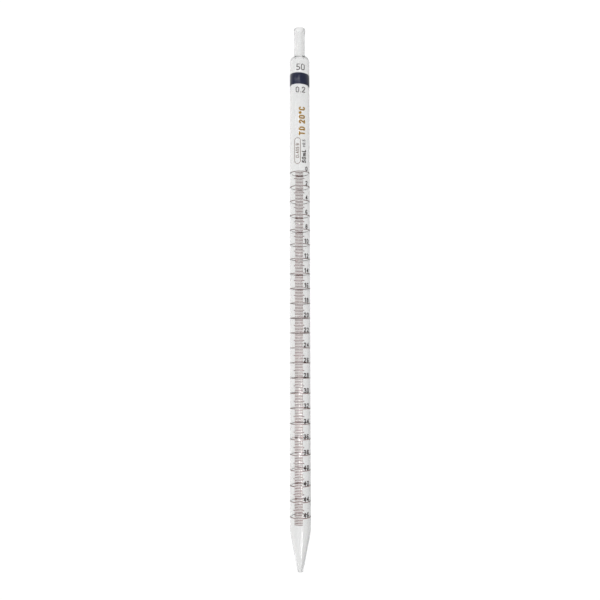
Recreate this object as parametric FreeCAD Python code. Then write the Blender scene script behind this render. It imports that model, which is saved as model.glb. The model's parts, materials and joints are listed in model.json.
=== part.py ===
"""Graduated glass pipette, 50 mL in 0.2 mL steps: drawn glass body and fired enamel marks.

Frame in millimetres. The origin is the centre of the jet's end, and +Z runs up the axis to the
mouthpiece. The scale is read from the front, the -Y side, with +X on the reader's right.
An azimuth is in degrees from the front, positive towards +X.
"""

import FreeCAD, Part
import math
import os

from FreeCAD import Vector

# Glass body
OVERALL_LENGTH = 450.0
BORE_R = 7.23
WALL = 1.15
BARREL_R = BORE_R + WALL
SHOULDER_Z = 422.2
SHOULDER_BEND_R = 4.5
NECK_Z = 425.6
NECK_R = 4.65
NECK_BEND_R = 0.8
MOUTH_JOINT_Z = 426.9
MOUTH_BORE_R = 3.3

# Mouthpiece: a straight narrow tube that ends in a fire-polished bead
BEAD_R = 4.84
BEAD_Z = 447.0
BEAD_RISE = 1.2
RIM_ROUND = 0.6

# Jet: a drawn cone that runs tangent into the barrel and ends in a fire-polished tip
JET_JOINT_Z = 36.5
JET_TIP_R = 2.1
JET_CONE_END_Z = 30.9
JET_BEND_R = 50.0
JET_WALL = 0.97
ORIFICE_R = 1.0
ORIFICE_LENGTH = 1.6
THROAT_Z = 6.0
TIP_ROUND = 0.45

# Scale: one millilitre of bore is this long, so every mark's height follows from its volume
ML_PITCH = 1000.0 / (math.pi * BORE_R**2)
ZERO_Z = 322.96
LAST_MARK_ML = 46.8
MINOR_STEP_ML = 0.2
RING_STEP_ML = 2
SCALE_SKEW = -7.0
SHORT_HALF_ANGLE = 23.0
MEDIUM_HALF_ANGLE = 31.0
LINE_WIDTH = 0.56
NUMERAL_OFFSET = 45.5
NUMERAL_HEIGHT = 3.9
NUMERAL_STROKE = 0.76
NUMERAL_LIFT = 0.45

# Enamel: fired on the outside of the barrel
ENAMEL = 0.04
BAND_LOW_Z = 398.3
BAND_HIGH_Z = 408.2
BAND_TILT = 3.5
BAND_AZIMUTH = 8.0
BAND_HALF_ANGLE = 95.0

# Lettering above the scale: height of capitals, stroke and place
CAPACITY_HEIGHT = 5.6
CAPACITY_Z = 410.2
DIVISION_HEIGHT = 5.0
DIVISION_Z = 390.7
UPPER_AZIMUTH = 12.0
UPPER_STROKE = 0.64
TYPE_HEIGHT = 5.4
TYPE_LOW_Z = 353.6
TYPE_AZIMUTH = 20.0
TYPE_STROKE = 1.2
FRAME_LOW_Z = 329.2
FRAME_HIGH_Z = 351.8
FRAME_WIDTH = 5.3
FRAME_AZIMUTH = -6.5
FRAME_LINE = 0.42
CLASS_HEIGHT = 2.7
CLASS_STROKE = 0.42
VOLUME_HEIGHT = 3.8
VOLUME_STROKE = 0.8
VOLUME_LOW_Z = 330.2
VOLUME_AZIMUTH = 32.0
TOLERANCE_HEIGHT = 2.7
TOLERANCE_STROKE = 0.46
TOLERANCE_LOW_Z = 343.6

# Lettering cut in a cell one unit wide and two units tall, measured along the stroke's centre
CELL_HEIGHT = 2.0
DOT_WIDTH = 0.1
LETTER_GAP = 0.35
WORD_GAP = 0.9
CUTTER_DEPTH = 3.0


def tangent_fillet(before, corner, after, radius):
    """The two tangent points and the middle of the arc that rounds a corner."""
    back = (before - corner).normalize()
    ahead = (after - corner).normalize()
    half_angle = back.getAngle(ahead) / 2
    reach = radius / math.tan(half_angle)
    middle_way = (back + ahead).normalize()
    centre = corner + middle_way * (radius / math.sin(half_angle))
    return corner + back * reach, centre - middle_way * radius, corner + ahead * reach


def outline(corners):
    """A closed wire in the XZ plane through (r, z, fillet) corners."""
    points = [Vector(r, 0, z) for r, z, _ in corners]
    stops = []
    for i, (_, _, fillet) in enumerate(corners):
        if fillet:
            after = points[(i + 1) % len(points)]
            stops.append(tangent_fillet(points[i - 1], points[i], after, fillet))
        else:
            stops.append((points[i], None, points[i]))
    edges = []
    for i, (enter, middle, leave) in enumerate(stops):
        if middle is not None:
            edges.append(Part.Arc(enter, middle, leave).toShape())
        next_enter = stops[(i + 1) % len(stops)][0]
        if leave.distanceToPoint(next_enter) > 1e-6:
            edges.append(Part.makeLine(leave, next_enter))
    return Part.Wire(edges)


def turned(corners):
    """A solid of revolution about the axis."""
    return Part.Face(outline(corners)).revolve(Vector(0, 0, 0), Vector(0, 0, 1), 360)


def mouthpiece_tube():
    top = OVERALL_LENGTH
    return turned([
        (MOUTH_BORE_R, MOUTH_JOINT_Z, 0),
        (NECK_R, MOUTH_JOINT_Z, 0),
        (NECK_R, BEAD_Z - BEAD_RISE, 1.5),
        (BEAD_R, BEAD_Z + BEAD_RISE / 2, 1.5),
        (BEAD_R, top, RIM_ROUND),
        (MOUTH_BORE_R, top, RIM_ROUND),
    ])


def barrel_tube():
    bore_shoulder_z = SHOULDER_Z - WALL / 2
    bore_neck_z = NECK_Z - WALL / 2
    return turned([
        (BORE_R, JET_JOINT_Z, 0),
        (BARREL_R, JET_JOINT_Z, 0),
        (BARREL_R, SHOULDER_Z, SHOULDER_BEND_R),
        (NECK_R, NECK_Z, NECK_BEND_R),
        (NECK_R, MOUTH_JOINT_Z, 0),
        (MOUTH_BORE_R, MOUTH_JOINT_Z, 0),
        (MOUTH_BORE_R, bore_neck_z, NECK_BEND_R + WALL),
        (BORE_R, bore_shoulder_z, SHOULDER_BEND_R - WALL),
    ])


def jet_cone():
    slope = (BARREL_R - JET_TIP_R) / JET_CONE_END_Z
    bore_at_zero = JET_TIP_R - JET_WALL * math.hypot(1, slope)
    bore_end_z = (BORE_R - bore_at_zero) / slope
    return turned([
        (ORIFICE_R, 0, TIP_ROUND),
        (JET_TIP_R, 0, TIP_ROUND),
        (BARREL_R, JET_CONE_END_Z, JET_BEND_R),
        (BARREL_R, JET_JOINT_Z, 0),
        (BORE_R, JET_JOINT_Z, 0),
        (BORE_R, bore_end_z, JET_BEND_R - WALL),
        (bore_at_zero + slope * THROAT_Z, THROAT_Z, 6.0),
        (ORIFICE_R, ORIFICE_LENGTH, 3.0),
    ])


def enamel_strip(low_z, high_z, azimuth=0.0, half_angle=180.0):
    """A strip of enamel round the barrel between two heights."""
    outer = BARREL_R + ENAMEL
    corners = [(BARREL_R, low_z), (outer, low_z), (outer, high_z), (BARREL_R, high_z)]
    points = [Vector(r, 0, z) for r, z in corners]
    face = Part.Face(Part.makePolygon(points + points[:1]))
    start = azimuth - half_angle - 90
    face.rotate(Vector(0, 0, 0), Vector(0, 0, 1), start)
    return face.revolve(Vector(0, 0, 0), Vector(0, 0, 1), 2 * half_angle)


def colour_code_band():
    """A band across the front half whose two edges sit slightly out of square with the axis."""
    room = BARREL_R
    sleeve = enamel_strip(BAND_LOW_Z - room, BAND_HIGH_Z + room, BAND_AZIMUTH, BAND_HALF_ANGLE)
    slab = Part.makeBox(4 * room, 4 * room, BAND_HIGH_Z - BAND_LOW_Z)
    slab.translate(Vector(-2 * room, -2 * room, BAND_LOW_Z))
    middle = Vector(0, 0, (BAND_LOW_Z + BAND_HIGH_Z) / 2)
    slab.rotate(middle, Vector(0, 1, 0), BAND_TILT)
    return sleeve.common(slab)


def mark_z(volume_ml):
    return ZERO_Z - ML_PITCH * volume_ml


def scale_azimuth(volume_ml):
    """The scale's centre line, which drifts round the barrel by SCALE_SKEW from end to end."""
    return SCALE_SKEW * (volume_ml / LAST_MARK_ML - 0.5)


def scale_line(volume_ml, half_angle):
    z = mark_z(volume_ml)
    return enamel_strip(z - LINE_WIDTH / 2, z + LINE_WIDTH / 2, scale_azimuth(volume_ml), half_angle)


def scale_lines():
    """Three groups of lines: full rings, medium lines at odd millilitres and short lines."""
    rings, medium, short = [], [], []
    steps_per_ml = round(1 / MINOR_STEP_ML)
    for step in range(round(LAST_MARK_ML * steps_per_ml) + 1):
        volume = step / steps_per_ml
        if step % (RING_STEP_ML * steps_per_ml) == 0:
            rings.append(scale_line(volume, 180.0))
        elif step % steps_per_ml == 0:
            medium.append(scale_line(volume, MEDIUM_HALF_ANGLE))
        else:
            short.append(scale_line(volume, SHORT_HALF_ANGLE))
    return rings, medium, short


def line(*points):
    """Straight strokes through points in the letter cell."""
    return Part.makePolygon([Vector(x, y, 0) for x, y in points]).Edges


def arc(x, y, radius, start, end):
    """A round stroke from one angle to another, counterclockwise."""
    return [Part.makeCircle(radius, Vector(x, y, 0), Vector(0, 0, 1), start, end)]


def loop(x, y, radius, height=0.0):
    """A closed stroke: a circle, or a tall one with straight sides."""
    if not height:
        return arc(x, y, radius, 0, 360)
    left = line((x - radius, y + height), (x - radius, y))
    right = line((x + radius, y), (x + radius, y + height))
    return arc(x, y + height, radius, 0, 180) + left + arc(x, y, radius, 180, 360) + right


def strokes(letter):
    """The strokes of one letter and its width, in cell units."""
    shapes = {
        "0": loop(0.5, 0.5, 0.5, 1.0),
        "1": line((0.1, 1.55), (0.55, 2), (0.55, 0)),
        "2": arc(0.5, 1.5, 0.5, -35, 170) + line((0.91, 1.213), (0, 0), (1, 0)),
        "3": arc(0.48, 1.52, 0.48, -90, 150) + arc(0.5, 0.52, 0.52, -150, 90),
        "4": line((0.75, 0), (0.75, 2), (0, 0.6), (1.05, 0.6)),
        "5": line((0.92, 2), (0.14, 2), (0.08, 1.05)) + arc(0.44, 0.58, 0.58, -150, 127),
        "6": loop(0.5, 0.5, 0.5) + line((0, 0.5), (0, 1.5)) + arc(0.5, 1.5, 0.5, 30, 180),
        "8": loop(0.5, 1.53, 0.45) + loop(0.5, 0.53, 0.53),
        "A": line((0, 0), (0.5, 2), (1, 0)) + line((0.2, 0.7), (0.8, 0.7)),
        "B": line((0.5, 1.06), (0, 1.06), (0, 2), (0.5, 2)) + arc(0.5, 1.53, 0.47, -90, 90)
        + line((0, 1.06), (0, 0), (0.45, 0)) + arc(0.45, 0.53, 0.53, -90, 90),
        "C": arc(0.5, 1.5, 0.5, 15, 180) + line((0, 1.5), (0, 0.5)) + arc(0.5, 0.5, 0.5, 180, 345),
        "D": line((0.4, 0), (0, 0), (0, 2), (0.4, 2)) + arc(0.4, 1.4, 0.6, 0, 90)
        + line((1, 1.4), (1, 0.6)) + arc(0.4, 0.6, 0.6, 270, 360),
        "L": line((0, 2), (0, 0), (0.9, 0)),
        "S": arc(0.5, 1.5, 0.5, 15, 270) + arc(0.5, 0.5, 0.5, 195, 450),
        "T": line((0, 2), (1.1, 2)) + line((0.55, 1.9), (0.55, 0)),
        "m": line((0, 0), (0, 1.35)) + arc(0.36, 0.92, 0.36, 0, 170) + line((0.72, 0.92), (0.72, 0))
        + arc(1.08, 0.92, 0.36, 0, 170) + line((1.44, 0.92), (1.44, 0)),
        "°": loop(0.3, 1.72, 0.3),
        "±": line((0.1, 1.25), (0.9, 1.25)) + line((0.5, 0.8), (0.5, 1.7)) + line((0.1, 0.3), (0.9, 0.3)),
        ".": line((0, 0), (DOT_WIDTH, 0)),
    }
    widths = {"m": 1.44, "°": 0.6, ".": DOT_WIDTH, "T": 1.1, "1": 0.65, "L": 0.9}
    return shapes[letter], widths.get(letter, 1.0)


def thick_stroke(edge, width):
    """A cutter with round ends that follows one straight or round edge at the given width."""
    half = width / 2
    if edge.isClosed():
        centre = edge.Curve.Center
        radius = edge.Curve.Radius
        ring = [Part.Wire(Part.makeCircle(radius + side, centre)) for side in (half, -half)]
        return Part.Face(ring[0]).cut(Part.Face(ring[1])).extrude(Vector(0, 0, CUTTER_DEPTH))
    first, last = edge.ParameterRange
    spots = []
    for at in (first, (first + last) / 2, last):
        along = edge.tangentAt(at) * half
        spots.append((edge.valueAt(at), along, Vector(-along.y, along.x, 0)))
    (start, start_along, start_side), (middle, _, middle_side), (end, end_along, end_side) = spots
    sides = [
        Part.Arc(start + start_side, middle + middle_side, end + end_side).toShape()
        if isinstance(edge.Curve, Part.Circle) else Part.makeLine(start + start_side, end + end_side),
        Part.Arc(end + end_side, end + end_along, end - end_side).toShape(),
        Part.Arc(end - end_side, middle - middle_side, start - start_side).toShape()
        if isinstance(edge.Curve, Part.Circle) else Part.makeLine(end - end_side, start - start_side),
        Part.Arc(start - start_side, start - start_along, start + start_side).toShape(),
    ]
    return Part.Face(Part.Wire(sides)).extrude(Vector(0, 0, CUTTER_DEPTH))


def cutter(edges, scale, width):
    """One cutter for all the edges of a letter or a frame, drawn at a scale."""
    prisms = []
    for edge in edges:
        sized = edge.copy()
        sized.scale(scale)
        prisms.append(thick_stroke(sized, width))
    return prisms[0].multiFuse(prisms[1:]) if len(prisms) > 1 else prisms[0]


def on_barrel(block, azimuth, z):
    """Stand a flat block of cutters up and set it across the barrel's surface."""
    block.rotate(Vector(0, 0, 0), Vector(1, 0, 0), 90)
    block.translate(Vector(0, -BARREL_R + CUTTER_DEPTH / 2, z))
    block.rotate(Vector(0, 0, 0), Vector(0, 0, 1), azimuth)
    return block


def lettering(text, height, stroke, azimuth, low_z, upward=False, centred=True):
    """Enamel lettering on the barrel. It reads across, or up the barrel when upward is true."""
    scale = (height - stroke) / CELL_HEIGHT
    gap = LETTER_GAP * scale + stroke
    cutters, x = [], stroke / 2
    for letter in text:
        if letter == " ":
            x += WORD_GAP * scale
            continue
        edges, width = strokes(letter)
        solid = cutter(edges, scale, stroke)
        solid.translate(Vector(x, stroke / 2, 0))
        cutters.append(solid)
        x += width * scale + gap
    length = x - gap + stroke / 2
    block = Part.makeCompound(cutters)
    if upward:
        block.translate(Vector(-length / 2 if centred else 0, -height / 2, 0))
        block.rotate(Vector(0, 0, 0), Vector(0, 0, 1), 90)
    else:
        block.translate(Vector(-length / 2, 0, 0))
    block = on_barrel(block, azimuth, low_z)
    reach = length if upward else height
    sleeve = enamel_strip(low_z - reach, low_z + reach + height, azimuth, 80.0)
    return [solid for letter in block.Solids for solid in sleeve.common(letter).Solids]


def specification_frame():
    """A rounded frame line, drawn up the barrel."""
    half_width = (FRAME_WIDTH - FRAME_LINE) / 2
    straight = FRAME_HIGH_Z - FRAME_LOW_Z - FRAME_WIDTH
    block = cutter(loop(0, 0, half_width, straight), 1.0, FRAME_LINE)
    sleeve = enamel_strip(FRAME_LOW_Z - 1, FRAME_HIGH_Z + 1, FRAME_AZIMUTH, 60.0)
    return sleeve.common(on_barrel(block, FRAME_AZIMUTH, FRAME_LOW_Z + FRAME_WIDTH / 2)).Solids


def numeral(volume_ml):
    azimuth = scale_azimuth(volume_ml) + NUMERAL_OFFSET
    base_z = mark_z(volume_ml) + NUMERAL_LIFT
    return lettering(str(volume_ml), NUMERAL_HEIGHT, NUMERAL_STROKE, azimuth, base_z)


def save(node, solids):
    """Write one sub-part. A node of several marks is a group of separate solids."""
    shape = solids[0] if len(solids) == 1 else Part.makeCompound(solids)
    shape.exportStep(f"parts/{node}.step")
    print(f"{node}: {len(solids)} solids, {shape.Volume:.3f} mm3, valid {shape.isValid()}")


def main():
    os.makedirs("parts", exist_ok=True)
    save("mouthpiece_tube", [mouthpiece_tube()])
    save("barrel_tube", [barrel_tube()])
    save("jet_cone", [jet_cone()])
    save("colour_code_band", colour_code_band().Solids)
    rings, medium, short = scale_lines()
    save("ring_marks", rings)
    save("medium_marks", medium)
    save("short_marks", short)
    for volume in range(0, math.floor(LAST_MARK_ML) + 1, RING_STEP_ML):
        save(f"numeral_{volume:02d}", numeral(volume))
    save("capacity_numeral",
         lettering("50", CAPACITY_HEIGHT, UPPER_STROKE, UPPER_AZIMUTH, CAPACITY_Z))
    save("division_numeral",
         lettering("0.2", DIVISION_HEIGHT, UPPER_STROKE, UPPER_AZIMUTH, DIVISION_Z))
    save("delivery_mark",
         lettering("TD 20°C", TYPE_HEIGHT, TYPE_STROKE, TYPE_AZIMUTH, TYPE_LOW_Z, True, False))
    save("specification_frame", specification_frame())
    save("class_mark",
         lettering("CLASS B", CLASS_HEIGHT, CLASS_STROKE, FRAME_AZIMUTH,
                   (FRAME_LOW_Z + FRAME_HIGH_Z) / 2, True))
    save("volume_mark",
         lettering("50mL", VOLUME_HEIGHT, VOLUME_STROKE, VOLUME_AZIMUTH, VOLUME_LOW_Z, True, False))
    save("tolerance_mark",
         lettering("±0.5", TOLERANCE_HEIGHT, TOLERANCE_STROKE, VOLUME_AZIMUTH, TOLERANCE_LOW_Z,
                   True, False))


main()
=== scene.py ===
"""Looks for a graduated glass pipette: one drawn glass body with fired enamel marks.

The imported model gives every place: the jet's end is at the origin, +Z runs up the axis and the
scale is read from the front, -Y. An azimuth is counted from the front, positive towards +X.
"""

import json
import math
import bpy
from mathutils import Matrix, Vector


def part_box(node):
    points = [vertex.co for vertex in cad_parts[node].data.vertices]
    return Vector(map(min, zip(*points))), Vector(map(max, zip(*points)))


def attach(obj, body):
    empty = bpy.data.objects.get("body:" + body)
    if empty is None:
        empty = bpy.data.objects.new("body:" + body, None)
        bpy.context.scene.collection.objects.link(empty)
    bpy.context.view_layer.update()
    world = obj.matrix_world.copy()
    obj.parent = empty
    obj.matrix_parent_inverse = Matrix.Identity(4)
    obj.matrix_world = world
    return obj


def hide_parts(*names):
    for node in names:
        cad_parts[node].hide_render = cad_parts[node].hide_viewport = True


bl_info = {
    "name": "Graduated Pipette",
    "version": (1, 0, 0),
    "blender": (4, 5, 0),
    "location": "3D View > Sidebar > Pipette",
    "description": "Builds a graduated glass pipette with enamel marks round its packed frame",
    "category": "Object",
}

import bpy
from bpy.props import FloatProperty, FloatVectorProperty, IntProperty, PointerProperty
from mathutils import Matrix, Vector

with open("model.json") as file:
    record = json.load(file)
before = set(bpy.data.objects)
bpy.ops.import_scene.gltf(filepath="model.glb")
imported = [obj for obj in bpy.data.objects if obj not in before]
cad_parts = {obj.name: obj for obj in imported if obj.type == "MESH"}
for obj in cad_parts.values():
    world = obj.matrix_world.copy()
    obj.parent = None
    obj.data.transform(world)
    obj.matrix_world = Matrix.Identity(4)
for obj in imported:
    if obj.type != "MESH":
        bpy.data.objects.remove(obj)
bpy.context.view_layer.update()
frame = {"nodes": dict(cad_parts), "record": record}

MM = 0.001
AXIS_UP = (0.0, 0.0, 1.0)
WHITE = (1.0, 1.0, 1.0, 1.0)
GLASS_NODES = ("mouthpiece_tube", "barrel_tube", "jet_cone")
BARREL_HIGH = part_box("barrel_tube")[1]
RIM_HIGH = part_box("mouthpiece_tube")[1]
BARREL_RADIUS = BARREL_HIGH.x
ENAMEL_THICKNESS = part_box("ring_marks")[1].x - BARREL_RADIUS

# The part of the bead's height that has its full width, and the bends inside the jet
BEAD_FULL_SHARE = 0.57
THROAT_BEND = 6.0 * MM
ORIFICE_BEND = 3.0 * MM

# Faces along a full ring, a medium line, a short line and the colour band
RING_SEGMENTS = 160
MEDIUM_SEGMENTS = 14
SHORT_SEGMENTS = 10
BAND_SEGMENTS = 96

# Points nearer than this become one, and faces that meet at less than this angle look smooth
MERGE_DISTANCE = 0.0005 * MM
SMOOTH_ANGLE = math.radians(50.0)

# Gloss of the glass and of the enamel, and the share of the glass's sheen that a smudge takes away
GLASS_COAT_ROUGHNESS = 0.12
SMUDGE_SHARE = 0.4
ENAMEL_INDEX = 1.52
ENAMEL_COAT_ROUGHNESS = 0.1

# What the camera sees behind the pipette, the floor's radius, and where the studio's grey starts
# and stops changing to the right, to the back and downwards, as parts of a unit direction
SEEN_WHITE = 1.05
FLOOR_RADIUS = 6.0
RIGHT_EDGES = (-0.15, 0.2)
BACK_EDGES = (-0.5, 0.3)
DOWN_EDGES = (-0.35, 0.15)

# Strip lights stand on the camera's side. Low and high ones have their own middle height and length
LOW_STRIP = (0.057, 0.21)
HIGH_STRIP = (0.445, 0.5)

# Name, turn from the camera in degrees, height and length, and radiance
STRIPS = (
    ("near_low_strip", -9.0, LOW_STRIP, 50.0),
    ("far_low_strip", 14.0, LOW_STRIP, 40.0),
    ("side_low_strip", -45.0, LOW_STRIP, 10.0),
    ("near_high_strip", -9.0, HIGH_STRIP, 12.0),
    ("side_high_strip", -45.0, HIGH_STRIP, 6.0),
)

# A light card lies on the floor, just above it, and shines up at the jet
CARD_SIZE = (0.04, 0.18)
CARD_RADIANCE = 24.0
CARD_TURN = math.radians(18.0)
CARD_REACH = 0.175
CARD_LIFT = 0.001


def length(name, description, default, smallest=0.0):
    """A property for a size in metres."""
    return FloatProperty(
        name=name, description=description, default=default, min=smallest,
        subtype="DISTANCE", unit="LENGTH", precision=5,
    )


def angle(name, description, degrees):
    """A property for an angle."""
    return FloatProperty(
        name=name, description=description, default=math.radians(degrees), subtype="ANGLE",
    )


def colour(name, description, red, green, blue):
    """A property for a linear colour."""
    return FloatVectorProperty(
        name=name, description=description, default=(red, green, blue), size=3,
        min=0.0, max=1.0, subtype="COLOR",
    )


def amount(name, description, default, largest=1.0):
    """A property for a plain number."""
    return FloatProperty(
        name=name, description=description, default=default, min=0.0, max=largest,
    )


class GlassSettings(bpy.types.PropertyGroup):
    """Sizes and finish of the drawn glass body."""

    segments: IntProperty(
        name="Segments", description="Faces round the glass", default=192, min=24, max=512,
    )
    wall: length("Wall", "Thickness of the barrel's wall", 1.15 * MM)
    shoulder_drop: length("Shoulder drop", "From the joint down to the shoulder", 4.7 * MM)
    shoulder_bend: length("Shoulder bend", "Radius of the shoulder", 4.5 * MM)
    neck_drop: length("Neck drop", "From the joint down to the neck", 1.3 * MM)
    mouth_radius: length("Mouth radius", "Outside radius of the mouthpiece's tube", 4.65 * MM)
    neck_bend: length("Neck bend", "Radius of the bend into the neck", 0.8 * MM)
    mouth_bore: length("Mouth bore", "Radius of the mouthpiece's bore", 3.3 * MM)
    bead_height: length("Bead height", "Height of the fire-polished bead", 4.2 * MM)
    bead_bend: length("Bead bend", "Radius of the bends below the bead", 1.5 * MM)
    rim_round: length("Rim rounding", "Radius of the polished rim", 0.6 * MM)
    tip_radius: length("Tip radius", "Outside radius of the jet's end", 2.1 * MM)
    tip_round: length("Tip rounding", "Radius of the polished tip", 0.45 * MM)
    cone_height: length("Cone height", "Height at which the cone meets the barrel", 30.9 * MM)
    cone_bend: length("Cone bend", "Radius of the bend into the cone", 50 * MM)
    cone_wall: length("Cone wall", "Thickness of the cone's wall", 0.97 * MM)
    orifice: length("Orifice", "Radius of the orifice", 1.0 * MM)
    orifice_length: length("Orifice length", "Straight length of the orifice", 1.6 * MM)
    throat: length("Throat", "Height at which the bore starts to close", 6.0 * MM)
    tint: colour("Tint", "Colour of the glass", 0.985, 0.987, 0.985)
    streak_tint: colour("Streak tint", "Colour of the faint draw lines", 0.96, 0.962, 0.96)
    index: amount("Index", "Refractive index", 1.474, 3.0)
    roughness: amount("Roughness", "Roughness of the surface", 0.0)
    sheen: amount("Sheen", "Weight of the soft reflection over the clear one", 0.6)
    wave: length("Wave", "Height of the waves left by drawing", 0.0006 * MM)


class EnamelSettings(bpy.types.PropertyGroup):
    """Sizes and colours of the fired enamel."""

    line_width: length("Line width", "Width of the scale's lines", 0.56 * MM)
    band_azimuth: angle("Band azimuth", "Middle of the colour band", 8.0)
    band_reach: angle("Band reach", "Half of the colour band's sweep", 95.0)
    sunk: length("Sunk", "How far enamel reaches into the glass", 0.01 * MM)
    soft_edge: length("Soft edge", "Rounding of the enamel's edges", 0.02 * MM)
    medium_reach: angle("Medium reach", "Half of a medium line's sweep", 31.0)
    short_reach: angle("Short reach", "Half of a short line's sweep", 23.0)
    skew: angle("Skew", "Turn of the whole scale from end to end", -7.0)
    ring_step: IntProperty(
        name="Ring step", description="Millilitres between full rings", default=2, min=1,
    )
    last_ring: IntProperty(
        name="Last ring", description="Volume of the lowest full ring", default=46, min=2,
    )
    steps: IntProperty(
        name="Steps", description="Divisions in one millilitre", default=5, min=2,
    )
    band_tilt: angle("Band tilt", "Lean of the colour band's edges", 3.5)
    scale_colour: colour("Scale colour", "Enamel of the scale's lines", 0.036, 0.008, 0.005)
    letter_colour: colour("Letter colour", "Enamel of the numerals", 0.008, 0.004, 0.004)
    band_colour: colour("Band colour", "Enamel of the colour band", 0.0012, 0.003, 0.014)
    amber_colour: colour("Amber colour", "Enamel of the delivery mark", 0.18, 0.095, 0.002)
    pale_colour: colour("Pale colour", "Enamel of the framed mark", 0.06, 0.03, 0.016)


class StudioSettings(bpy.types.PropertyGroup):
    """Camera, lights and surroundings."""

    distance: length("Distance", "From the pipette's axis to the camera", 529.3 * MM)
    height: length("Height", "Of the camera above the jet's end", 173.8 * MM)
    azimuth: angle("Azimuth", "Direction of the camera from the front", 7.0)
    pitch: angle("Pitch", "Upward tilt of the camera", 5.655)
    roll: angle("Roll", "Turn of the camera about its line of sight", -0.1)
    lens: amount("Lens", "Focal length in millimetres", 38.54, 200.0)
    rise: FloatProperty(name="Rise", description="Vertical shift of the lens", default=-0.02)
    backdrop: amount("Backdrop", "Grey of the studio behind the glass", 0.88, 4.0)
    room: amount("Room", "Grey of the studio on the camera's side", 0.5, 4.0)
    high_falloff: amount("High falloff", "Darkening to the right, level with the mouth", 0.18)
    low_falloff: amount("Low falloff", "Darkening to the right, level with the jet", 0.3)
    floor_drop: length("Floor drop", "From the jet's end down to the floor", 60 * MM)
    light_reach: length("Light reach", "From the axis to the strip lights", 500 * MM)
    light_width: length("Light width", "Width of the strip lights", 70 * MM)


# Shader helpers


class Number:
    """A value inside a node tree, so that shader maths reads as plain sums."""

    def __init__(self, shading, socket):
        self.shading = shading
        self.socket = socket

    def __add__(self, other):
        return self.shading.math("ADD", self, other)

    def __sub__(self, other):
        return self.shading.math("SUBTRACT", self, other)

    def __rsub__(self, other):
        return self.shading.math("SUBTRACT", other, self)

    def __mul__(self, other):
        return self.shading.math("MULTIPLY", self, other)

    __radd__ = __add__
    __rmul__ = __mul__


class Shading:
    """The node tree of a material or of the world."""

    def __init__(self, owner):
        owner.use_nodes = True
        self.owner = owner
        self.tree = owner.node_tree
        self.tree.nodes.clear()

    def node(self, kind, settings, inputs, output=0):
        """Adds a node: its settings first, then the values or links of its sockets."""
        made = self.tree.nodes.new(kind)
        for name, value in settings.items():
            if name == "stops":
                self.set_stops(made.color_ramp, value)
            else:
                setattr(made, name, value)
        for name, value in inputs.items():
            socket = made.inputs[name]
            if isinstance(value, Number):
                self.tree.links.new(value.socket, socket)
            else:
                socket.default_value = value
        return Number(self, made.outputs[output]) if made.outputs else made

    def set_stops(self, ramp, stops):
        """Gives a colour ramp its (place, grey) stops."""
        while len(ramp.elements) < len(stops):
            ramp.elements.new(0.5)
        for element, (place, grey) in zip(ramp.elements, stops):
            element.position = place
            element.color = (grey, grey, grey, 1.0)

    def math(self, operation, first, second, clamp=False):
        """A Math node on two values."""
        settings = {"operation": operation, "use_clamp": clamp}
        return self.node("ShaderNodeMath", settings, {0: first, 1: second})

    def noise(self, place, scale, stretch=(1.0, 1.0, 1.0), detail=3.0, spread=0.5):
        """Noise that can be drawn out along an axis."""
        at = self.node("ShaderNodeMapping", {}, {"Vector": place, "Scale": stretch})
        inputs = {"Vector": at, "Scale": scale, "Detail": detail, "Roughness": spread}
        return self.node("ShaderNodeTexNoise", {}, inputs, "Fac")

    def part(self, vector, axis):
        """One coordinate of a vector."""
        return self.node("ShaderNodeSeparateXYZ", {}, {"Vector": vector}, axis)

    def smooth_step(self, value, low, high):
        """A soft step from 0 at low to 1 at high."""
        return self.node("ShaderNodeMapRange", {"interpolation_type": "SMOOTHSTEP"}, {
            "Value": value, "From Min": low, "From Max": high,
        })

    def ramp(self, value, *stops):
        """A colour ramp over a value."""
        return self.node("ShaderNodeValToRGB", {"stops": stops}, {"Fac": value})

    def mix_colour(self, factor, first, second):
        """Blends two linear colours.

        A Mix node has a pair of inputs for each kind of data, so the colour ones go by number.
        """
        made = self.tree.nodes.new("ShaderNodeMix")
        made.data_type = "RGBA"
        self.tree.links.new(factor.socket, made.inputs["Factor"])
        made.inputs[6].default_value = (*first, 1.0)
        made.inputs[7].default_value = (*second, 1.0)
        return Number(self, made.outputs[2])


def new_finish(name):
    """The empty node tree of a new material."""
    return Shading(bpy.data.materials.new(name))


def worn_tone(main, share, lift=0.0):
    """The colour that enamel has where it is worn."""
    return [part * share + lift for part in main]


def glass_finish(look):
    """Clear drawn glass: faint draw lines along the axis, slow waves and a few smudges."""
    finish = new_finish("drawn_clear_glass")
    place = finish.node("ShaderNodeTexCoord", {}, {}, "Object")
    draw_lines = finish.noise(place, 900.0, (1.0, 1.0, 0.012), 2.0)
    waves = finish.noise(place, 130.0, (1.0, 1.0, 0.06), 1.0)
    smudges = finish.ramp(finish.noise(place, 90.0, (1.0, 1.0, 0.35), 4.0), (0.5, 1.0), (0.75, 0.0))
    streaks = finish.ramp(draw_lines, (0.5, 0.0), (0.8, 1.0))
    bump = finish.node("ShaderNodeBump", {}, {
        "Strength": 1.0, "Distance": look.wave, "Height": draw_lines * 0.35 + waves,
    })
    shader = finish.node("ShaderNodeBsdfPrincipled", {}, {
        "Base Color": finish.mix_colour(streaks, look.tint, look.streak_tint),
        "Roughness": look.roughness,
        "Normal": bump,
        "Transmission Weight": 1.0,
        "IOR": look.index,
        "Coat Weight": smudges * (look.sheen * SMUDGE_SHARE) + look.sheen * (1 - SMUDGE_SHARE),
        "Coat Roughness": GLASS_COAT_ROUGHNESS,
    })
    finish.node("ShaderNodeOutputMaterial", {}, {"Surface": shader})
    return finish.owner


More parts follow.
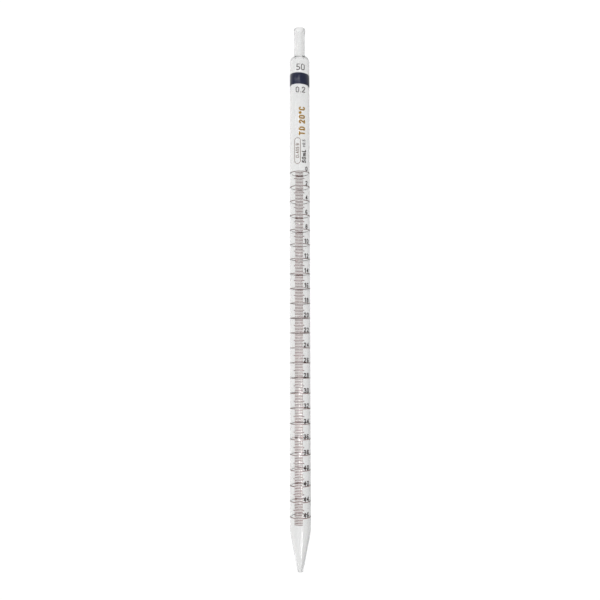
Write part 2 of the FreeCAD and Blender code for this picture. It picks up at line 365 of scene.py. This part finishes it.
def enamel_finish(name, main, worn, roughness):
    """Fired enamel: a speckled, slightly uneven print with a soft gloss."""
    finish = new_finish(name)
    place = finish.node("ShaderNodeTexCoord", {}, {}, "Object")
    patches = finish.noise(place, 160.0, detail=4.0)
    speckle = finish.noise(place, 2600.0, spread=0.6)
    wear = finish.ramp(patches * 0.5 + speckle * 0.5, (0.42, 0.0), (0.68, 1.0))
    bump = finish.node("ShaderNodeBump", {}, {
        "Strength": 0.5, "Distance": 0.01 * MM, "Height": speckle,
    })
    shader = finish.node("ShaderNodeBsdfPrincipled", {}, {
        "Base Color": finish.mix_colour(wear, main, worn),
        "Roughness": wear * 0.18 + roughness,
        "Normal": bump,
        "IOR": ENAMEL_INDEX,
        "Specular IOR Level": 0.1,
        "Coat Weight": 0.6,
        "Coat Roughness": ENAMEL_COAT_ROUGHNESS,
    })
    finish.node("ShaderNodeOutputMaterial", {}, {"Surface": shader})
    return finish.owner


def band_finish(main, worn):
    """The sprayed colour band: glossy, with faint turning lines and pinholes."""
    finish = new_finish("navy_band_enamel")
    place = finish.node("ShaderNodeTexCoord", {}, {}, "Object")
    turning = finish.noise(place, 700.0, (0.05, 0.05, 1.0))
    pinholes = finish.ramp(finish.noise(place, 1900.0, detail=2.0), (0.72, 0.0), (0.8, 1.0))
    wear = finish.math("ADD", turning * 0.6, pinholes * 0.8, clamp=True)
    bump = finish.node("ShaderNodeBump", {}, {
        "Strength": 0.6, "Distance": 0.012 * MM, "Height": turning - pinholes,
    })
    shader = finish.node("ShaderNodeBsdfPrincipled", {}, {
        "Base Color": finish.mix_colour(wear, main, worn),
        "Roughness": wear * 0.15 + 0.16,
        "Normal": bump,
        "IOR": ENAMEL_INDEX,
        "Specular IOR Level": 0.3,
        "Coat Weight": 0.3,
        "Coat Roughness": ENAMEL_COAT_ROUGHNESS,
    })
    finish.node("ShaderNodeOutputMaterial", {}, {"Surface": shader})
    return finish.owner


# Modelling helpers


def select_nothing():
    """Leaves edit mode with no object selected."""
    if bpy.context.mode != "OBJECT":
        bpy.ops.object.mode_set(mode="OBJECT")
    bpy.ops.object.select_all(action="DESELECT")


def select_only(pieces):
    """Selects these pieces, the first of them active."""
    select_nothing()
    for piece in pieces:
        piece.select_set(True)
    bpy.context.view_layer.objects.active = pieces[0]


def edit_vertices(piece, wanted):
    """Opens a piece in edit mode with only the wanted vertices selected."""
    select_only([piece])
    bpy.ops.object.mode_set(mode="EDIT")
    bpy.ops.mesh.select_mode(type="VERT")
    bpy.ops.mesh.select_all(action="DESELECT")
    bpy.ops.object.mode_set(mode="OBJECT")
    for vertex in piece.data.vertices:
        vertex.select = wanted(vertex.co)
    bpy.ops.object.mode_set(mode="EDIT")


def hold_in_place(piece):
    """Puts a piece's place and turn into its mesh."""
    select_only([piece])
    bpy.ops.object.transform_apply(location=True, rotation=True, scale=True)


def rounded_outline(corners, step=math.radians(6.0), support=0.25 * MM):
    """Points along a closed outline of (radius, height, rounding) corners.

    A straight stretch longer than six supports gets a point one support from each end, so that
    smooth shading stays flat there.
    """
    points = []
    for i, (r, z, rounding) in enumerate(corners):
        corner = Vector((r, z))
        before = Vector(corners[i - 1][:2]) - corner
        after = Vector(corners[(i + 1) % len(corners)][:2]) - corner
        if not rounding:
            points.append(corner)
            continue
        half = before.angle(after) / 2
        reach = rounding / math.tan(half)
        back, ahead = before.normalized(), after.normalized()
        centre = corner + (back + ahead).normalized() * (rounding / math.sin(half))
        start = corner + back * reach - centre
        sweep = start.angle_signed(corner + ahead * reach - centre)
        count = max(3, math.ceil(abs(sweep) / step))
        for k in range(count + 1):
            turned = start.copy()
            turned.rotate(Matrix.Rotation(-sweep * k / count, 2))
            points.append(centre + turned)
    supported = []
    for i, point in enumerate(points):
        supported.append(point)
        way = points[(i + 1) % len(points)] - point
        if way.length > 6 * support:
            supported.append(point + way.normalized() * support)
            supported.append(point + way - way.normalized() * support)
    return supported


def raise_rings(name, outline, segments):
    """A closed shell raised from a circle, ring by ring along an outline, and bridged shut."""
    select_nothing()
    bpy.ops.mesh.primitive_circle_add(
        vertices=segments, radius=outline[0].x, location=(0, 0, outline[0].y), fill_type="NOTHING",
    )
    piece = bpy.context.active_object
    piece.name = name
    hold_in_place(piece)
    bpy.ops.object.mode_set(mode="EDIT")
    bpy.ops.mesh.select_mode(type="VERT")
    bpy.ops.mesh.select_all(action="SELECT")
    for here, there in zip(outline, outline[1:]):
        bpy.ops.mesh.extrude_region_move(
            TRANSFORM_OT_translate={"value": (0, 0, there.y - here.y)},
        )
        grow = there.x / here.x
        bpy.ops.transform.resize(value=(grow, grow, 1.0), center_override=(0.0, 0.0, 0.0))
    bpy.ops.mesh.select_all(action="DESELECT")
    bpy.ops.mesh.select_non_manifold(
        use_wire=False, use_multi_face=False, use_non_contiguous=False, use_verts=False,
    )
    bpy.ops.mesh.bridge_edge_loops()
    bpy.ops.mesh.select_all(action="SELECT")
    bpy.ops.mesh.normals_make_consistent(inside=False)
    bpy.ops.object.mode_set(mode="OBJECT")
    bpy.ops.object.shade_smooth()
    return piece


def section_plane(name, low, high, enamel):
    """The cut face of a strip of enamel at the front of the barrel, its outer corners rounded."""
    inner = BARREL_RADIUS - enamel.sunk
    outer = BARREL_RADIUS + ENAMEL_THICKNESS
    select_nothing()
    bpy.ops.mesh.primitive_plane_add(size=1.0, rotation=(0, math.pi / 2, 0))
    piece = bpy.context.active_object
    piece.name = name
    piece.scale = (high - low, outer - inner, 1.0)
    piece.location = (0.0, -(inner + outer) / 2, (low + high) / 2)
    hold_in_place(piece)
    edit_vertices(piece, lambda place: place.y < -BARREL_RADIUS)
    bpy.ops.mesh.bevel(offset=enamel.soft_edge, segments=2, affect="VERTICES")
    return piece


def spin_section(piece, half_sweep, segments):
    """Spins the section in edit mode about the axis, as a full ring or to each side of the front."""
    whole = half_sweep >= math.pi
    bpy.ops.mesh.select_all(action="SELECT")
    if whole:
        bpy.ops.mesh.delete(type="ONLY_FACE")
        bpy.ops.mesh.select_all(action="SELECT")
    else:
        bpy.ops.transform.rotate(
            value=-half_sweep, orient_axis="Z", center_override=(0.0, 0.0, 0.0),
        )
    bpy.ops.mesh.spin(
        steps=segments, angle=2 * half_sweep, use_auto_merge=whole,
        center=(0.0, 0.0, 0.0), axis=AXIS_UP,
    )
    bpy.ops.mesh.select_all(action="SELECT")
    bpy.ops.mesh.remove_doubles(threshold=MERGE_DISTANCE)
    bpy.ops.mesh.normals_make_consistent(inside=False)
    bpy.ops.object.mode_set(mode="OBJECT")
    select_only([piece])
    bpy.ops.object.shade_smooth_by_angle(angle=SMOOTH_ANGLE)


def repeat_line(name, pattern, spots):
    """Copies one line to each (height, azimuth) and joins the copies into one piece."""
    copies = []
    for height, azimuth in spots:
        select_only([pattern])
        bpy.ops.object.duplicate()
        copy = bpy.context.active_object
        copy.location.z = height
        copy.rotation_euler.z = azimuth
        copies.append(copy)
    bpy.data.objects.remove(pattern)
    select_only(copies)
    bpy.ops.object.join()
    piece = bpy.context.active_object
    piece.name = name
    hold_in_place(piece)
    return piece


def settle(piece, finish, slot, *nodes):
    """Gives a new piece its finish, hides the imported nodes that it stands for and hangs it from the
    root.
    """
    piece.data.materials.clear()
    piece.data.materials.append(finish)
    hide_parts(*nodes)
    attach(piece, "root")


class PIPETTE_OT_glass_body(bpy.types.Operator):
    """Raise the whole glass body as one shell: jet, barrel, shoulder and mouthpiece"""

    bl_idname = "pipette.glass_body"
    bl_label = "Glass body"

    def execute(self, context):
        glass = context.scene.pipette_glass
        outline = rounded_outline(self.outside(glass) + self.bore(glass))
        body = raise_rings("glass_body", outline, glass.segments)
        settle(body, glass_finish(glass), "glass", *GLASS_NODES)
        return {"FINISHED"}

    def outside(self, glass):
        """Corners from the jet's end up to the rim."""
        joint, rim = BARREL_HIGH.z, RIM_HIGH.z
        bead_top = rim - glass.bead_height
        return [
            (glass.tip_radius, 0.0, glass.tip_round),
            (BARREL_RADIUS, glass.cone_height, glass.cone_bend),
            (BARREL_RADIUS, joint - glass.shoulder_drop, glass.shoulder_bend),
            (glass.mouth_radius, joint - glass.neck_drop, glass.neck_bend),
            (glass.mouth_radius, bead_top, glass.bead_bend),
            (RIM_HIGH.x, rim - glass.bead_height * BEAD_FULL_SHARE, glass.bead_bend),
            (RIM_HIGH.x, rim, glass.rim_round),
        ]

    def bore(self, glass):
        """Corners from the rim down the bore to the orifice."""
        joint, wall = BARREL_HIGH.z, glass.wall
        bore_radius = BARREL_RADIUS - wall
        slope = (BARREL_RADIUS - glass.tip_radius) / glass.cone_height
        radius_at_end = glass.tip_radius - glass.cone_wall * math.hypot(1.0, slope)
        bore_cone_height = (bore_radius - radius_at_end) / slope
        return [
            (glass.mouth_bore, RIM_HIGH.z, glass.rim_round),
            (glass.mouth_bore, joint - glass.neck_drop - wall / 2, glass.neck_bend + wall),
            (bore_radius, joint - glass.shoulder_drop - wall / 2, glass.shoulder_bend - wall),
            (bore_radius, bore_cone_height, glass.cone_bend - wall),
            (radius_at_end + slope * glass.throat, glass.throat, THROAT_BEND),
            (glass.orifice, glass.orifice_length, ORIFICE_BEND),
            (glass.orifice, 0.0, glass.tip_round),
        ]


class PIPETTE_OT_scale_lines(bpy.types.Operator):
    """Lay the scale: full rings, medium lines at odd millilitres and short lines between"""

    bl_idname = "pipette.scale_lines"
    bl_label = "Scale lines"

    def execute(self, context):
        enamel = context.scene.pipette_enamel
        low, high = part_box("ring_marks")
        self.zero = high.z - enamel.line_width / 2
        self.pitch = (high.z - low.z - enamel.line_width) / enamel.last_ring
        self.reach = self.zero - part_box("short_marks")[0].z - enamel.line_width / 2
        finish = enamel_finish(
            "brown_scale_enamel", enamel.scale_colour, worn_tone(enamel.scale_colour, 1.8), 0.3,
        )
        rings, medium, short = self.volumes(enamel)
        for name, volumes, half_sweep, segments, node in (
            ("ring_lines", rings, math.pi, RING_SEGMENTS, "ring_marks"),
            ("medium_lines", medium, enamel.medium_reach, MEDIUM_SEGMENTS, "medium_marks"),
            ("short_lines", short, enamel.short_reach, SHORT_SEGMENTS, "short_marks"),
        ):
            lines = self.lay(name, volumes, half_sweep, segments, enamel)
            settle(lines, finish, "scale_enamel", node)
        return {"FINISHED"}

    def volumes(self, enamel):
        """The volumes marked by rings, medium lines and short lines."""
        last_step = round(self.reach / self.pitch * enamel.steps)
        rings, medium, short = [], [], []
        for step in range(last_step + 1):
            if step % (enamel.ring_step * enamel.steps) == 0:
                rings.append(step / enamel.steps)
            elif step % enamel.steps == 0:
                medium.append(step / enamel.steps)
            else:
                short.append(step / enamel.steps)
        return rings, medium, short

    def lay(self, name, volumes, half_sweep, segments, enamel):
        """Models one line at the front and repeats it at every volume, on the turning scale."""
        half_width = enamel.line_width / 2
        pattern = section_plane(name + "_pattern", -half_width, half_width, enamel)
        spin_section(pattern, half_sweep, segments)
        spots = []
        for volume in volumes:
            drop = self.pitch * volume
            spots.append((self.zero - drop, enamel.skew * (drop / self.reach - 0.5)))
        return repeat_line(name, pattern, spots)


class PIPETTE_OT_colour_band(bpy.types.Operator):
    """Lay the colour band round the top of the barrel, its edges slightly out of square"""

    bl_idname = "pipette.colour_band"
    bl_label = "Colour band"

    def execute(self, context):
        enamel = context.scene.pipette_enamel
        low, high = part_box("colour_code_band")
        lean = (BARREL_RADIUS + ENAMEL_THICKNESS) * math.tan(enamel.band_tilt)
        bottom, top = low.z + lean, high.z - lean
        band = section_plane("colour_band", bottom, top, enamel)
        spin_section(band, enamel.band_reach, BAND_SEGMENTS)
        band.rotation_euler.z = enamel.band_azimuth
        hold_in_place(band)
        middle = (low.z + high.z) / 2
        for edge, side in ((top, 1), (bottom, -1)):
            edit_vertices(band, lambda place: (place.z - middle) * side > 0)
            bpy.ops.transform.rotate(
                value=-enamel.band_tilt, orient_axis="Y", center_override=(0.0, 0.0, edge),
            )
            bpy.ops.transform.resize(
                value=(1 / math.cos(enamel.band_tilt), 1.0, 1.0), center_override=(0.0, 0.0, edge),
            )
            bpy.ops.object.mode_set(mode="OBJECT")
        finish = band_finish(enamel.band_colour, worn_tone(enamel.band_colour, 2, 0.004))
        settle(band, finish, "navy_enamel", "colour_code_band")
        return {"FINISHED"}


class PIPETTE_OT_lettering(bpy.types.Operator):
    """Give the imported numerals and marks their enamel"""

    bl_idname = "pipette.lettering"
    bl_label = "Lettering"

    def execute(self, context):
        enamel = context.scene.pipette_enamel
        dark = enamel_finish(
            "brown_letter_enamel", enamel.letter_colour, worn_tone(enamel.letter_colour, 2), 0.28,
        )
        amber = enamel_finish(
            "amber_letter_enamel", enamel.amber_colour, worn_tone(enamel.amber_colour, 0.7), 0.3,
        )
        pale = enamel_finish(
            "pale_letter_enamel", enamel.pale_colour, worn_tone(enamel.pale_colour, 1.5), 0.4,
        )
        finishes = {"lettering_enamel": dark, "amber_enamel": amber, "pale_enamel": pale}
        for subpart in frame["record"]["subparts"]:
            finish = finishes.get(subpart["material_slot"])
            if finish:
                node = frame["nodes"][subpart["node"]]
                node.data.materials.clear()
                node.data.materials.append(finish)
        return {"FINISHED"}


class PIPETTE_OT_studio(bpy.types.Operator):
    """Set up the pale floor, the soft light and the camera"""

    bl_idname = "pipette.studio"
    bl_label = "Studio"

    def execute(self, context):
        studio = context.scene.pipette_studio
        context.scene.view_settings.view_transform = "Standard"
        context.scene.cycles.use_denoising = True
        self.surroundings(context.scene, studio)
        self.floor(studio)
        self.strip_lights(studio)
        self.camera(context.scene, studio)
        return {"FINISHED"}

    def studio_grey(self, shading, direction, studio):
        """The studio's light by direction: darker on the camera's side, and to the right and low."""
        across = shading.smooth_step(shading.part(direction, "X"), *RIGHT_EDGES)
        behind = shading.smooth_step(shading.part(direction, "Y"), *BACK_EDGES)
        low = shading.smooth_step(shading.part(direction, "Z") * -1.0, *DOWN_EDGES)
        falloff = low * (studio.low_falloff - studio.high_falloff) + studio.high_falloff
        backdrop = studio.backdrop - across * falloff
        return behind * (backdrop - studio.room) + studio.room

    def surroundings(self, scene, studio):
        """White behind the pipette, and an uneven pale studio for the glass to pass on."""
        scene.world = bpy.data.worlds.new("pale_studio")
        sky = Shading(scene.world)
        direction = sky.node("ShaderNodeTexCoord", {}, {}, "Generated")
        studio_light = sky.node("ShaderNodeBackground", {}, {
            "Color": WHITE, "Strength": self.studio_grey(sky, direction, studio),
        })
        seen = sky.node("ShaderNodeLightPath", {}, {}, "Is Camera Ray")
        white = sky.node("ShaderNodeBackground", {}, {"Color": WHITE, "Strength": SEEN_WHITE})
        both = sky.node("ShaderNodeMixShader", {}, {0: seen, 1: studio_light, 2: white})
        sky.node("ShaderNodeOutputWorld", {}, {"Surface": both})

    def floor(self, studio):
        """A wide pale floor, seen only from above, so that the pipette can be looked at from below."""
        select_nothing()
        bpy.ops.mesh.primitive_circle_add(
            vertices=64, radius=FLOOR_RADIUS, fill_type="NGON", location=(0, 0, -studio.floor_drop),
        )
        floor = bpy.context.active_object
        floor.name = "floor"
        hold_in_place(floor)
        paint = new_finish("pale_floor")
        place = paint.node("ShaderNodeTexCoord", {}, {}, "Object")
        direction = paint.node("ShaderNodeVectorMath", {"operation": "NORMALIZE"}, {0: place})
        grey = self.studio_grey(paint, direction, studio)
        seen = paint.node("ShaderNodeLightPath", {}, {}, "Is Camera Ray")
        glow = paint.node("ShaderNodeEmission", {}, {"Strength": seen * (SEEN_WHITE - grey) + grey})
        clear = paint.node("ShaderNodeBsdfTransparent", {}, {})
        below = paint.node("ShaderNodeNewGeometry", {}, {}, "Backfacing")
        both = paint.node("ShaderNodeMixShader", {}, {0: below, 1: glow, 2: clear})
        paint.node("ShaderNodeOutputMaterial", {}, {"Surface": both})
        floor.data.materials.append(paint.owner)

    def strip_lights(self, studio):
        """Upright strips on the camera's side and a card on the floor, which streak the glass."""
        for name, degrees, (height, tall), radiance in STRIPS:
            size = (studio.light_width, tall)
            azimuth = studio.azimuth + math.radians(degrees)
            self.area_light(name, size, radiance, math.pi / 2, azimuth, studio.light_reach, height)
        self.area_light("jet_card", CARD_SIZE, CARD_RADIANCE, math.pi, studio.azimuth + CARD_TURN,
                        CARD_REACH, CARD_LIFT - studio.floor_drop)

    def area_light(self, name, size, radiance, tilt, azimuth, reach, height):
        """A light that only the soft reflections catch, turned about the axis and tilted."""
        light = bpy.data.lights.new(name, "AREA")
        light.shape = "RECTANGLE"
        light.size, light.size_y = size
        light.energy = radiance * math.pi * size[0] * size[1]
        light.cycles.use_multiple_importance_sampling = False
        holder = bpy.data.objects.new(name, light)
        holder.location = (reach * math.sin(azimuth), -reach * math.cos(azimuth), height)
        holder.rotation_euler = (tilt, 0.0, azimuth)
        holder.visible_camera = False
        bpy.context.scene.collection.objects.link(holder)

    def camera(self, scene, studio):
        """The camera, placed from the axis by distance, height, azimuth, pitch and roll."""
        lens = bpy.data.cameras.new("camera")
        lens.lens = studio.lens
        lens.shift_y = studio.rise
        lens.clip_start = 0.01
        lens.clip_end = 100.0
        holder = bpy.data.objects.new("camera", lens)
        turn = Matrix.Rotation(studio.azimuth, 4, "Z")
        tilt = Matrix.Rotation(math.pi / 2 + studio.pitch, 4, "X")
        place = Matrix.Translation((0.0, -studio.distance, studio.height))
        holder.matrix_world = turn @ place @ tilt @ Matrix.Rotation(studio.roll, 4, "Z")
        scene.collection.objects.link(holder)
        scene.camera = holder


OPERATORS = (
    PIPETTE_OT_glass_body,
    PIPETTE_OT_scale_lines,
    PIPETTE_OT_colour_band,
    PIPETTE_OT_lettering,
    PIPETTE_OT_studio,
)


class PIPETTE_PT_sidebar(bpy.types.Panel):
    """Sizes, colours and build steps of the pipette"""

    bl_idname = "PIPETTE_PT_sidebar"
    bl_label = "Graduated Pipette"
    bl_space_type = "VIEW_3D"
    bl_region_type = "UI"
    bl_category = "Pipette"

    def draw(self, context):
        for group in ("pipette_glass", "pipette_enamel", "pipette_studio"):
            settings = getattr(context.scene, group)
            box = self.layout.box()
            for name in settings.bl_rna.properties.keys():
                if name not in {"rna_type", "name"}:
                    box.prop(settings, name)
        for step in OPERATORS:
            self.layout.operator(step.bl_idname)


CLASSES = (GlassSettings, EnamelSettings, StudioSettings, *OPERATORS, PIPETTE_PT_sidebar)


def register():
    for cls in CLASSES:
        bpy.utils.register_class(cls)
    bpy.types.Scene.pipette_glass = PointerProperty(type=GlassSettings)
    bpy.types.Scene.pipette_enamel = PointerProperty(type=EnamelSettings)
    bpy.types.Scene.pipette_studio = PointerProperty(type=StudioSettings)


def unregister():
    for name in ("pipette_glass", "pipette_enamel", "pipette_studio"):
        delattr(bpy.types.Scene, name)
    for cls in reversed(CLASSES):
        bpy.utils.unregister_class(cls)


def main():
    register()
    bpy.ops.pipette.glass_body()
    bpy.ops.pipette.scale_lines()
    bpy.ops.pipette.colour_band()
    bpy.ops.pipette.lettering()
    bpy.ops.pipette.studio()
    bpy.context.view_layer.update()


if __name__ == "__main__":
    main()
